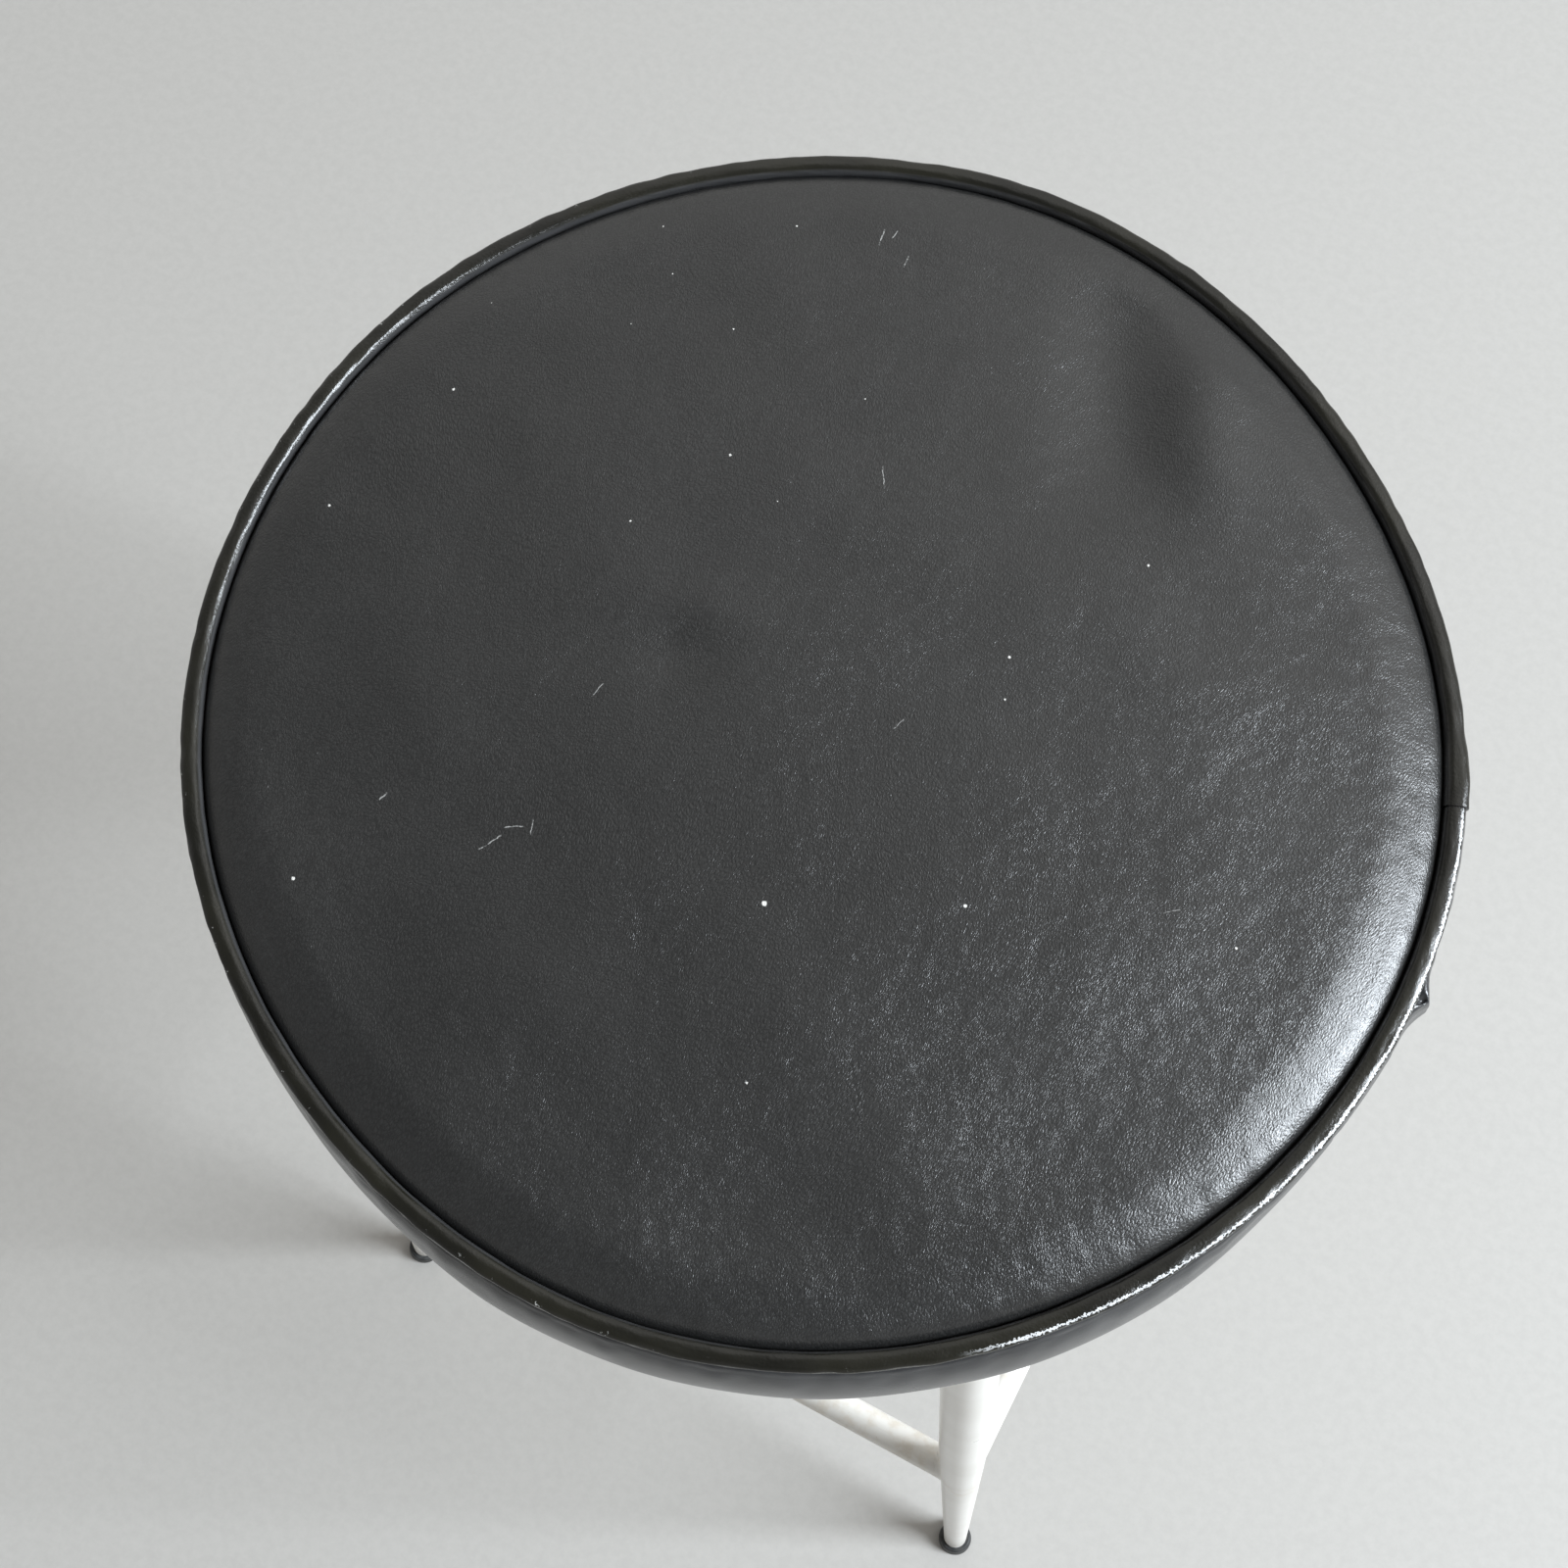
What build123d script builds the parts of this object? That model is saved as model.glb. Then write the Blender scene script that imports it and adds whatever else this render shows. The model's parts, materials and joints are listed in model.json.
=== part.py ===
from build123d import *
import os
from math import cos, hypot, radians

# Bar stool: a round boxed cushion seat on four splayed, tapered steel legs with a square footrest.
# Frame: origin on the floor under the seat's centre, +Z up, front towards -Y. The legs stand on the
# diagonals and the footrest tubes run along X and Y. Lengths are in millimetres, angles in degrees.

# ---- seat cover
seat_height = 701.0            # crown of the seat above the floor
seat_radius = 160.6            # over the welt
seat_underside = 640.0         # lower face of the cover's hem
vinyl = 1.0                    # thickness of the cover material
welt_height = 692.0            # middle of the welt
welt_tube_radius = 2.5
crown_drop = 3.0               # from the crown to the shoulder of the top panel
shoulder_radius = 138.0        # where the top panel starts to roll over
shoulder_drop = 3.6            # from the shoulder to the start of the tight roll
tight_roll = (2.0, 3.2)        # width and depth of the tight roll into the crease
widest_radius = 165.0          # bulge of the side band
widest_height = 668.5
lower_edge_radius = 161.0      # where the band starts to turn under the board
lower_edge_height = 647.2
hem_turn_radius = 150.7        # where the band lies flat under the board
hem_inner_radius = 108.0
band_fold = (2.5, 0.5)         # width and rise of the band's fold into the seam
band_fold_drop = 4.6           # from the welt's middle to the fold's inner end
seam_allowance = 11.5          # depth of the turned-in edges below the welt's middle
clearance = 0.1                # between the cover's layers

# ---- seat board and underside
board_radius = 159.0
board_thickness = 15.0
board_round_over = 8.5
dust_cover_radius = 121.5
dust_cover_thickness = 0.6
staple_crown = 10.0            # width of a staple
staple_wire = 0.5
staple_leg = 7.0
hem_staple_radius = 112.0
hem_staple_count = 36
cover_staple_radius = 118.0
cover_staple_count = 24

# ---- ring that joins legs and seat
ring_width = 26.0
ring_thickness = 3.0
ring_bottom = seat_underside - ring_thickness
screw_count = 4
screw_hole_radius = 3.3
screw_shank_radius = 3.0
screw_head_radius = 6.0
screw_head_height = 4.0
screw_shank_length = 20.0
screw_slot_width = 1.5
screw_slot_depth = 2.2
washer_radius = 8.0
washer_thickness = 1.6
tee_nut_barrel_radius = 4.0
tee_nut_barrel_length = 9.0
tee_nut_flange_radius = 9.5
tee_nut_flange_thickness = 1.2
tee_nut_prong = (1.2, 3.0, 6.0)
tee_nut_prong_radius = 7.2

# ---- legs and footrest
foot_circle_radius = 223.4     # where the leg axes meet the floor
leg_top_radius = 138.0         # where they meet the ring
leg_radius = 9.5
leg_tip_radius = 5.6           # at floor level
taper_start = 327.0            # height where the taper begins
leg_wall = 1.5
sole_thickness = 3.0           # rubber under the tube's end
footrest_height = 248.0
footrest_radius = 6.6
footrest_wall = 1.2
weld_leg = 2.2                 # size of a weld bead
foot_sole_radius = 8.3
foot_top_radius = 7.8
foot_height = 8.0
foot_edge = 1.0

corners = {"front_right": -45.0, "front_left": -135.0, "rear_right": 45.0, "rear_left": 135.0}
sides = {"front": -90.0, "right": 0.0, "rear": 90.0, "left": 180.0}

os.makedirs("parts", exist_ok=True)


def save(piece, label):
    piece.label = label
    export_step(piece, f"parts/{label}.step")


# ---- mid-lines of the cover's two pieces, drawn in the half section (radius, height)
board_top = seat_underside + vinyl + board_thickness
middle = vinyl / 2
allowance_bottom = welt_height - seam_allowance
crease_radius = seat_radius - 2 * welt_tube_radius
welt_ring_radius = seat_radius - welt_tube_radius
flange_width = 2 * vinyl
band_allowance_radius = crease_radius + flange_width + middle + clearance


def panel_line():
    """From the crown's centre outwards, down into the crease and along the turned-in edge."""
    top = seat_height - middle
    shoulder = (shoulder_radius, top - crown_drop)
    roll_width, roll_depth = tight_roll
    roll_end = (crease_radius - middle, top - crown_drop - shoulder_drop - roll_depth)
    roll_start = (roll_end[0] - roll_width, roll_end[1] + roll_depth)
    crown = TangentArc((0, top), shoulder, tangent=(1, 0))
    soft_roll = TangentArc(crown @ 1, roll_start, tangent=crown % 1)
    hard_roll = TangentArc(soft_roll @ 1, roll_end, tangent=soft_roll % 1)
    edge = Line(hard_roll @ 1, (roll_end[0], allowance_bottom))
    return [crown, soft_roll, hard_roll, edge]


def band_line():
    """From the hem's inner edge outwards, round the board, up the side and in under the welt."""
    hem_height = seat_underside + middle
    fold_width, fold_rise = band_fold
    fold_end = (band_allowance_radius, welt_height - band_fold_drop)
    fold_start = (fold_end[0] + fold_width, fold_end[1] + fold_rise)
    hem = Line((hem_inner_radius, hem_height), (hem_turn_radius, hem_height))
    turn = TangentArc(hem @ 1, (lower_edge_radius - middle, lower_edge_height), tangent=(1, 0))
    flank = TangentArc(turn @ 1, (widest_radius - middle, widest_height), tangent=turn % 1)
    upper_flank = TangentArc(flank @ 1, fold_start, tangent=flank % 1)
    fold = TangentArc(upper_flank @ 1, fold_end, tangent=upper_flank % 1)
    edge = Line(fold @ 1, (band_allowance_radius, allowance_bottom))
    return [hem, turn, flank, upper_flank, fold, edge]


# ---- staples, pointing up from the given height, their crowns lying along the seat's edge
def staple_ring(count, radius, crown_bottom):
    leg_offset = (staple_crown - staple_wire) / 2
    with BuildPart(Plane.XY.offset(crown_bottom)) as ring:
        with PolarLocations(radius, count):
            upwards = (Align.CENTER, Align.CENTER, Align.MIN)
            Box(2 * staple_wire, staple_crown, staple_wire, align=upwards)
            with Locations((0, -leg_offset), (0, leg_offset)):
                Box(2 * staple_wire, staple_wire, staple_leg, align=upwards)
    return ring.part


hem_staples = staple_ring(hem_staple_count, hem_staple_radius, seat_underside)
save(hem_staples, "hem_staples")
cover_staple_bottom = seat_underside - dust_cover_thickness - staple_wire
cover_staples = staple_ring(cover_staple_count, cover_staple_radius, cover_staple_bottom)
save(cover_staples, "cover_staples")

# ---- screws, washers and tee nuts that hold the seat on the ring
head_top = ring_bottom - washer_thickness
with BuildPart(Plane.XY.offset(head_top)) as seat_screws:
    with PolarLocations(leg_top_radius, screw_count):
        Cylinder(screw_shank_radius, screw_shank_length, align=(Align.CENTER, Align.CENTER, Align.MIN))
        Cylinder(screw_head_radius, screw_head_height, align=(Align.CENTER, Align.CENTER, Align.MAX))
    heads = seat_screws.edges().filter_by(GeomType.CIRCLE).group_by(Axis.Z)[0]
    fillet(heads, screw_head_height / 2)
    with Locations((0, 0, -screw_head_height)), PolarLocations(leg_top_radius, screw_count):
        slot_length = 1.2 * screw_head_radius
        upwards = (Align.CENTER, Align.CENTER, Align.MIN)
        Box(slot_length, screw_slot_width, screw_slot_depth, align=upwards, mode=Mode.SUBTRACT)
        Box(screw_slot_width, slot_length, screw_slot_depth, align=upwards, mode=Mode.SUBTRACT)
save(seat_screws.part, "seat_screws")

with BuildPart() as seat_washers:
    with BuildSketch(Plane.XY.offset(head_top)):
        with PolarLocations(leg_top_radius, screw_count):
            Circle(washer_radius)
            Circle(screw_hole_radius, mode=Mode.SUBTRACT)
    extrude(amount=washer_thickness)
save(seat_washers.part, "seat_washers")

with BuildPart(Plane.XY.offset(board_top)) as seat_tee_nuts:
    with PolarLocations(leg_top_radius, screw_count):
        downwards = (Align.CENTER, Align.CENTER, Align.MAX)
        Cylinder(tee_nut_flange_radius, tee_nut_flange_thickness, align=downwards)
        Cylinder(tee_nut_barrel_radius, tee_nut_barrel_length, align=downwards)
        with PolarLocations(tee_nut_prong_radius, 4):
            Box(*tee_nut_prong, align=downwards)
        Cylinder(screw_shank_radius, tee_nut_barrel_length, align=downwards, mode=Mode.SUBTRACT)
save(seat_tee_nuts.part, "seat_tee_nuts")

# ---- seat board: a plywood disc with rounded lower edge, drilled for the tee nuts
with BuildPart() as seat_board:
    with BuildSketch(Plane.XY.offset(board_top)):
        Circle(board_radius)
    extrude(amount=-board_thickness)
    fillet(seat_board.edges().group_by(Axis.Z)[0], board_round_over)
    with BuildSketch(Plane.XY.offset(board_top)):
        with PolarLocations(leg_top_radius, screw_count):
            Circle(tee_nut_barrel_radius)
    extrude(amount=-board_thickness, mode=Mode.SUBTRACT)
    add(seat_tee_nuts.part, mode=Mode.SUBTRACT)
    add(hem_staples, mode=Mode.SUBTRACT)
    add(cover_staples, mode=Mode.SUBTRACT)
save(seat_board.part, "seat_board")

# ---- cover: top panel, side band with its hem, and the welt with its cord
with BuildPart() as top_panel:
    with BuildSketch(Plane.XZ):
        with BuildLine():
            trace_path = panel_line()
        trace(trace_path, line_width=vinyl)
    revolve(axis=Axis.Z)
save(top_panel.part, "top_panel")

with BuildPart() as side_band:
    with BuildSketch(Plane.XZ):
        with BuildLine():
            trace_path = band_line()
        trace(trace_path, line_width=vinyl)
    revolve(axis=Axis.Z)
    with BuildSketch(Plane.XY.offset(seat_underside)):
        with PolarLocations(leg_top_radius, screw_count):
            Circle(screw_hole_radius)
    extrude(amount=vinyl, mode=Mode.SUBTRACT)
    add(hem_staples, mode=Mode.SUBTRACT)
    add(cover_staples, mode=Mode.SUBTRACT)
save(side_band.part, "side_band")

with BuildPart() as welt:
    with BuildSketch(Plane.XZ):
        with Locations((crease_radius, allowance_bottom)):
            flange_height = welt_height - allowance_bottom
            Rectangle(flange_width, flange_height, align=(Align.MIN, Align.MIN))
        with Locations((welt_ring_radius, welt_height)):
            Circle(welt_tube_radius)
            Circle(welt_tube_radius - vinyl, mode=Mode.SUBTRACT)
    revolve(axis=Axis.Z)
save(welt.part, "welt")

with BuildPart() as welt_cord:
    with BuildSketch(Plane.XZ):
        with Locations((welt_ring_radius, welt_height)):
            Circle(welt_tube_radius - vinyl)
    revolve(axis=Axis.Z)
save(welt_cord.part, "welt_cord")

# ---- foam pad: all the space above the board that the cover encloses
with BuildPart() as foam_pad:
    with BuildSketch(Plane.XZ):
        with BuildLine():
            panel_path = panel_line()
            band_path = band_line()
            Line(panel_path[-1] @ 1, band_path[-1] @ 1)
            Polyline(band_path[0] @ 0, (0, seat_underside), panel_path[0] @ 0)
        make_face()
        with Locations((0, board_top)):
            Rectangle(3 * seat_radius, seat_height, align=(Align.CENTER, Align.MAX), mode=Mode.SUBTRACT)
        trace(panel_path, line_width=vinyl + 2 * clearance, mode=Mode.SUBTRACT)
        trace(band_path, line_width=vinyl + 2 * clearance, mode=Mode.SUBTRACT)
    revolve(axis=Axis.Z)
save(foam_pad.part, "foam_pad")

with BuildPart() as dust_cover:
    with BuildSketch(Plane.XY.offset(seat_underside)):
        Circle(dust_cover_radius)
    extrude(amount=-dust_cover_thickness)
    add(cover_staples, mode=Mode.SUBTRACT)
save(dust_cover.part, "dust_cover")

# ---- seat ring: flat steel, drilled between the legs
with BuildPart() as seat_ring:
    with BuildSketch(Plane.XY.offset(ring_bottom)):
        Circle(leg_top_radius + ring_width / 2)
        Circle(leg_top_radius - ring_width / 2, mode=Mode.SUBTRACT)
        with PolarLocations(leg_top_radius, screw_count):
            Circle(screw_hole_radius, mode=Mode.SUBTRACT)
    extrude(amount=ring_thickness)
save(seat_ring.part, "seat_ring")

# ---- legs: tapered steel tubes. Distances along a leg count from where its axis meets the floor.
leg_run = foot_circle_radius - leg_top_radius
leg_length = hypot(leg_run, ring_bottom)
lean = leg_length / ring_bottom          # distance along a leg per millimetre of height


def leg_axis_plane(azimuth):
    """Upright half-plane of a leg, its local Y along the leg and its local X across it."""
    foot = Vector(foot_circle_radius, 0, 0).rotate(Axis.Z, azimuth)
    top = Vector(leg_top_radius, 0, ring_bottom).rotate(Axis.Z, azimuth)
    across = Vector(0, 1, 0).rotate(Axis.Z, azimuth)
    return Plane(origin=foot, x_dir=across, z_dir=across.cross(top - foot))


def leg_shape(azimuth, growth):
    """The leg's outer shape, thicker all round by the growth, cut level at the ring and over the sole."""
    plane = leg_axis_plane(azimuth)
    overrun = 2 * leg_radius
    taper_rate = (leg_radius - leg_tip_radius) / (taper_start * lean)
    low_radius = leg_tip_radius - taper_rate * overrun
    with BuildPart() as shape:
        with BuildSketch(plane):
            with BuildLine():
                Polyline(
                    (0, -overrun),
                    (low_radius + growth, -overrun),
                    (leg_radius + growth, taper_start * lean),
                    (leg_radius + growth, leg_length + overrun),
                    (0, leg_length + overrun),
                    close=True,
                )
            make_face()
        revolve(axis=Axis(plane.origin, plane.y_dir))
        split(bisect_by=Plane.XY.offset(ring_bottom), keep=Keep.BOTTOM)
        split(bisect_by=Plane.XY.offset(sole_thickness), keep=Keep.TOP)
    return shape.part


leg_outlines = {corner: leg_shape(azimuth, 0) for corner, azimuth in corners.items()}
for corner, azimuth in corners.items():
    with BuildPart() as leg:
        add(leg_outlines[corner])
        add(leg_shape(azimuth, -leg_wall), mode=Mode.SUBTRACT)
    save(leg.part, f"leg_{corner}")

# ---- rubber feet: cups moulded to the leg ends, with level soles
for corner, azimuth in corners.items():
    plane = leg_axis_plane(azimuth)
    with BuildPart() as foot:
        with BuildSketch(plane):
            with BuildLine():
                flare = (foot_sole_radius - foot_top_radius) / foot_height
                below = foot_top_radius
                Polyline(
                    (0, -below),
                    (foot_sole_radius + flare * below, -below),
                    (foot_top_radius, foot_height),
                    (0, foot_height),
                    close=True,
                )
            make_face()
        revolve(axis=Axis(plane.origin, plane.y_dir))
        split(bisect_by=Plane.XY, keep=Keep.TOP)
        fillet(foot.edges().filter_by(GeomType.CIRCLE).sort_by(Axis.Z)[-1], foot_edge)
        chamfer(foot.edges().filter_by(GeomType.ELLIPSE).sort_by(Axis.Z)[0], foot_edge / 2)
        add(leg_outlines[corner], mode=Mode.SUBTRACT)
    save(foot.part, f"foot_{corner}")

# ---- footrest: four tubes from leg to leg, their ends coped to the legs
footrest_circle = foot_circle_radius - leg_run * footrest_height / ring_bottom
half_side = footrest_circle * cos(radians(45))


def footrest_plane(azimuth):
    """Plane across the middle of the footrest tube on one side of the stool."""
    centre = Vector(half_side, 0, footrest_height).rotate(Axis.Z, azimuth)
    return Plane(origin=centre, x_dir=(0, 0, 1), z_dir=Vector(0, 1, 0).rotate(Axis.Z, azimuth))


def footrest_shape(azimuth, radius):
    with BuildPart() as shape:
        with BuildSketch(footrest_plane(azimuth)):
            Circle(radius)
        extrude(amount=half_side, both=True)
    return shape.part


footrest_outlines = {side: footrest_shape(azimuth, footrest_radius) for side, azimuth in sides.items()}
for side, azimuth in sides.items():
    with BuildPart() as footrest:
        add(footrest_outlines[side])
        add(footrest_shape(azimuth, footrest_radius - footrest_wall), mode=Mode.SUBTRACT)
        for outline in leg_outlines.values():
            add(outline, mode=Mode.SUBTRACT)
        if side in ("left", "right"):
            add(footrest_outlines["front"], mode=Mode.SUBTRACT)
            add(footrest_outlines["rear"], mode=Mode.SUBTRACT)
    save(footrest.part, f"footrest_{side}")

# ---- weld beads: collars that follow the joint of two tubes
leg_collars = [leg_shape(azimuth, weld_leg) for azimuth in corners.values()]
with BuildPart() as footrest_sleeves:
    for azimuth in sides.values():
        add(footrest_shape(azimuth, footrest_radius + weld_leg))

with BuildPart() as footrest_welds:
    for collar in leg_collars:
        add(collar)
    add(footrest_sleeves.part, mode=Mode.INTERSECT)
    for outline in [*footrest_outlines.values(), *leg_outlines.values()]:
        add(outline, mode=Mode.SUBTRACT)
save(footrest_welds.part, "footrest_welds")

with BuildPart() as ring_welds:
    for collar in leg_collars:
        add(collar)
    split(bisect_by=Plane.XY.offset(ring_bottom - weld_leg), keep=Keep.TOP)
    for outline in leg_outlines.values():
        add(outline, mode=Mode.SUBTRACT)
save(ring_welds.part, "ring_welds")
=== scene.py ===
"""Looks of the bar stool with footrest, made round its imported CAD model.

Lengths are in metres and angles in radians, unless a name says otherwise. The seat's axis is the frame's
Z axis, and azimuths count from +X towards +Y.
"""
import json
import math

import bpy
import numpy as np
from mathutils import Matrix, Vector, noise


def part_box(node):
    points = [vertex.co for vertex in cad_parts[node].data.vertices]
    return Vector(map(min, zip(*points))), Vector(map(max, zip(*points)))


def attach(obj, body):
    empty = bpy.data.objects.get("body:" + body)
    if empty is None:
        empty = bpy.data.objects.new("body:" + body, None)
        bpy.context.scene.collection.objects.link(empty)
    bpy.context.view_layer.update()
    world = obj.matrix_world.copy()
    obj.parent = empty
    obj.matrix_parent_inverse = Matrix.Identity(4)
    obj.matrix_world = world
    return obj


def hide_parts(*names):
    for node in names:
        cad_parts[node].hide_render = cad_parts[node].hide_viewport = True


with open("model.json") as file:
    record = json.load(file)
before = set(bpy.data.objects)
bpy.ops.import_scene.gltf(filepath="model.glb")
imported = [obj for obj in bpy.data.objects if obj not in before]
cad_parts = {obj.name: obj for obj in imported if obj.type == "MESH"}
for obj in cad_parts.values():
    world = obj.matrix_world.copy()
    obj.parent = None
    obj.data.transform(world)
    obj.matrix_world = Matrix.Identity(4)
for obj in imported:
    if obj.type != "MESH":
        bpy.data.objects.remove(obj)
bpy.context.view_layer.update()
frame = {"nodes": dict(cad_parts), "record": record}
nodes = frame["nodes"]
scene = bpy.context.scene
MM = 0.001

# ---- sizes read from the frame
panel_low, panel_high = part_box("top_panel")
welt_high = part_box("welt")[1]
band_low, band_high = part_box("side_band")
ring_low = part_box("seat_ring")[0]
cover_low, cover_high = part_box("dust_cover")
CROWN = panel_high.z
CREASE = panel_high.x
SEAM_BOTTOM = panel_low.z
WELT_TUBE = (welt_high.x - CREASE) / 2
WELT_RING = welt_high.x - WELT_TUBE
WELT_HEIGHT = welt_high.z - WELT_TUBE
UNDERSIDE = band_low.z
WIDEST = band_high.x
RING_BOTTOM = ring_low.z

# ---- sizes that the boxes don't give
SKIN = 1.0 * MM
MIDDLE = SKIN / 2
SHOULDER = (138 * MM, 3.0 * MM)          # radius and drop below the crown
ROLL_START = (2.7 * MM, 6.8 * MM)        # distance from the crease and drop below the crown
ROLL_END_DROP = 10.4 * MM
HEM_INNER = 108 * MM
HEM_TURN = 150.7 * MM
LOWER_EDGE = (161 * MM, 647.2 * MM)
WIDEST_HEIGHT = 668.5 * MM
FOLD_END = (CREASE + 2.6 * MM, WELT_HEIGHT - 4.6 * MM)
FOLD_START = (CREASE + 5.1 * MM, WELT_HEIGHT - 4.1 * MM)
SEAM_WAVES = ((0, -0.40, 0), (1, 0.39, -13), (2, 0.91, -23), (3, 0.21, -63), (4, 0.73, 59), (5, 0.26, 62),
              (6, 0.29, -163))             # turns, size in mm and phase in degrees of the seam's wander
LAP_AZIMUTH = math.radians(18.7)
TUCK_AZIMUTH = math.radians(1.6)
NICK_AZIMUTH = math.radians(-11.3)
BOARD_THICKNESS = 15 * MM
FOOT_CIRCLE, LEG_TOP_CIRCLE = 223.4 * MM, 138 * MM
LEG_RADIUS, LEG_TIP, TAPER_START = 9.5 * MM, 5.6 * MM, 327 * MM
BAR_HEIGHT, BAR_RADIUS = 248 * MM, 6.6 * MM
LEG_AZIMUTHS = [math.radians(a) for a in (-45, -135, 45, 135)]

# ---- heights between which a change of the seat's side fades in (from) or out (to)
WANDER_FROM = (644 * MM, 662 * MM)
TIGHT_FROM, TIGHT_TO = (650 * MM, 664 * MM), (689 * MM, 680 * MM)
TUCK_FROM = (664 * MM, 681 * MM)
BULGE_TO = (684 * MM, 672 * MM)
LOWER_GATHERS_TO = (650 * MM, 642 * MM)
INNER_GATHERS_TO = (644 * MM, 642 * MM)
PUCKER_HEIGHT, PUCKER_WIDTH = 683 * MM, 4 * MM

# ---- camera, fitted to the photograph
LENS, SENSOR_WIDTH = 52.6, 36.0                         # in mm
CAMERA_PLACE = (0.08714, -0.16146, 1.23963)
CAMERA_HEADING, CAMERA_TILT, CAMERA_ROLL = 31.4, 16.86, -3.75   # in degrees


# ---- camera, floor and light
def spin(degrees, axis):
    return Matrix.Rotation(math.radians(degrees), 3, axis)


def direction(azimuth, elevation):
    """Unit vector for an azimuth and an elevation in degrees."""
    az, el = math.radians(azimuth), math.radians(elevation)
    return Vector((math.cos(az) * math.cos(el), math.sin(az) * math.cos(el), math.sin(el)))


camera = bpy.data.objects.new("camera", bpy.data.cameras.new("camera"))
camera.data.lens = LENS
camera.data.sensor_width = SENSOR_WIDTH
camera_turn = spin(CAMERA_HEADING, "Z") @ spin(CAMERA_TILT, "X") @ spin(CAMERA_ROLL, "Z")
camera.matrix_world = Matrix.Translation(CAMERA_PLACE) @ camera_turn.to_4x4()
scene.collection.objects.link(camera)
scene.camera = camera
scene.view_settings.view_transform = "Standard"


def soft_light(name, azimuth, elevation, distance, size, power, colour):
    """A rectangular lamp that faces the seat."""
    lamp = bpy.data.lights.new(name, "AREA")
    lamp.shape = "RECTANGLE"
    lamp.size, lamp.size_y = size
    lamp.energy = power
    lamp.color = colour
    holder = bpy.data.objects.new(name, lamp)
    way = direction(azimuth, elevation)
    holder.matrix_world = Matrix.Translation(way * distance + Vector((0, 0, CROWN)))
    holder.rotation_mode = "QUATERNION"
    holder.rotation_quaternion = way.to_track_quat("Z", "Y")
    scene.collection.objects.link(holder)


soft_light("window", azimuth=15, elevation=36, distance=4.5, size=(1.9, 2.2), power=470,
           colour=(0.86, 0.93, 1.0))


# ---- procedural materials
def rgb(red, green, blue):
    return (red, green, blue, 1.0)


class Wires:
    """Wires the nodes of one tree. Each input is a value or another node's output."""

    def __init__(self, tree):
        self.tree = tree

    def node(self, kind, inputs=None, **settings):
        made = self.tree.nodes.new("ShaderNode" + kind)
        for name, value in settings.items():
            setattr(made, name, value)
        for key, value in (inputs or {}).items():
            self.feed(made.inputs[key], value)
        return made

    def feed(self, socket, value):
        if isinstance(value, bpy.types.NodeSocket):
            self.tree.links.new(value, socket)
        else:
            socket.default_value = value

    def math(self, operation, first, second=0.0):
        return self.node("Math", {0: first, 1: second}, operation=operation).outputs[0]

    def step(self, value, low, high, start=0.0, end=1.0):
        inputs = {"Value": value, "From Min": low, "From Max": high, "To Min": start, "To Max": end}
        return self.node("MapRange", inputs, interpolation_type="SMOOTHSTEP").outputs["Result"]


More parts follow.
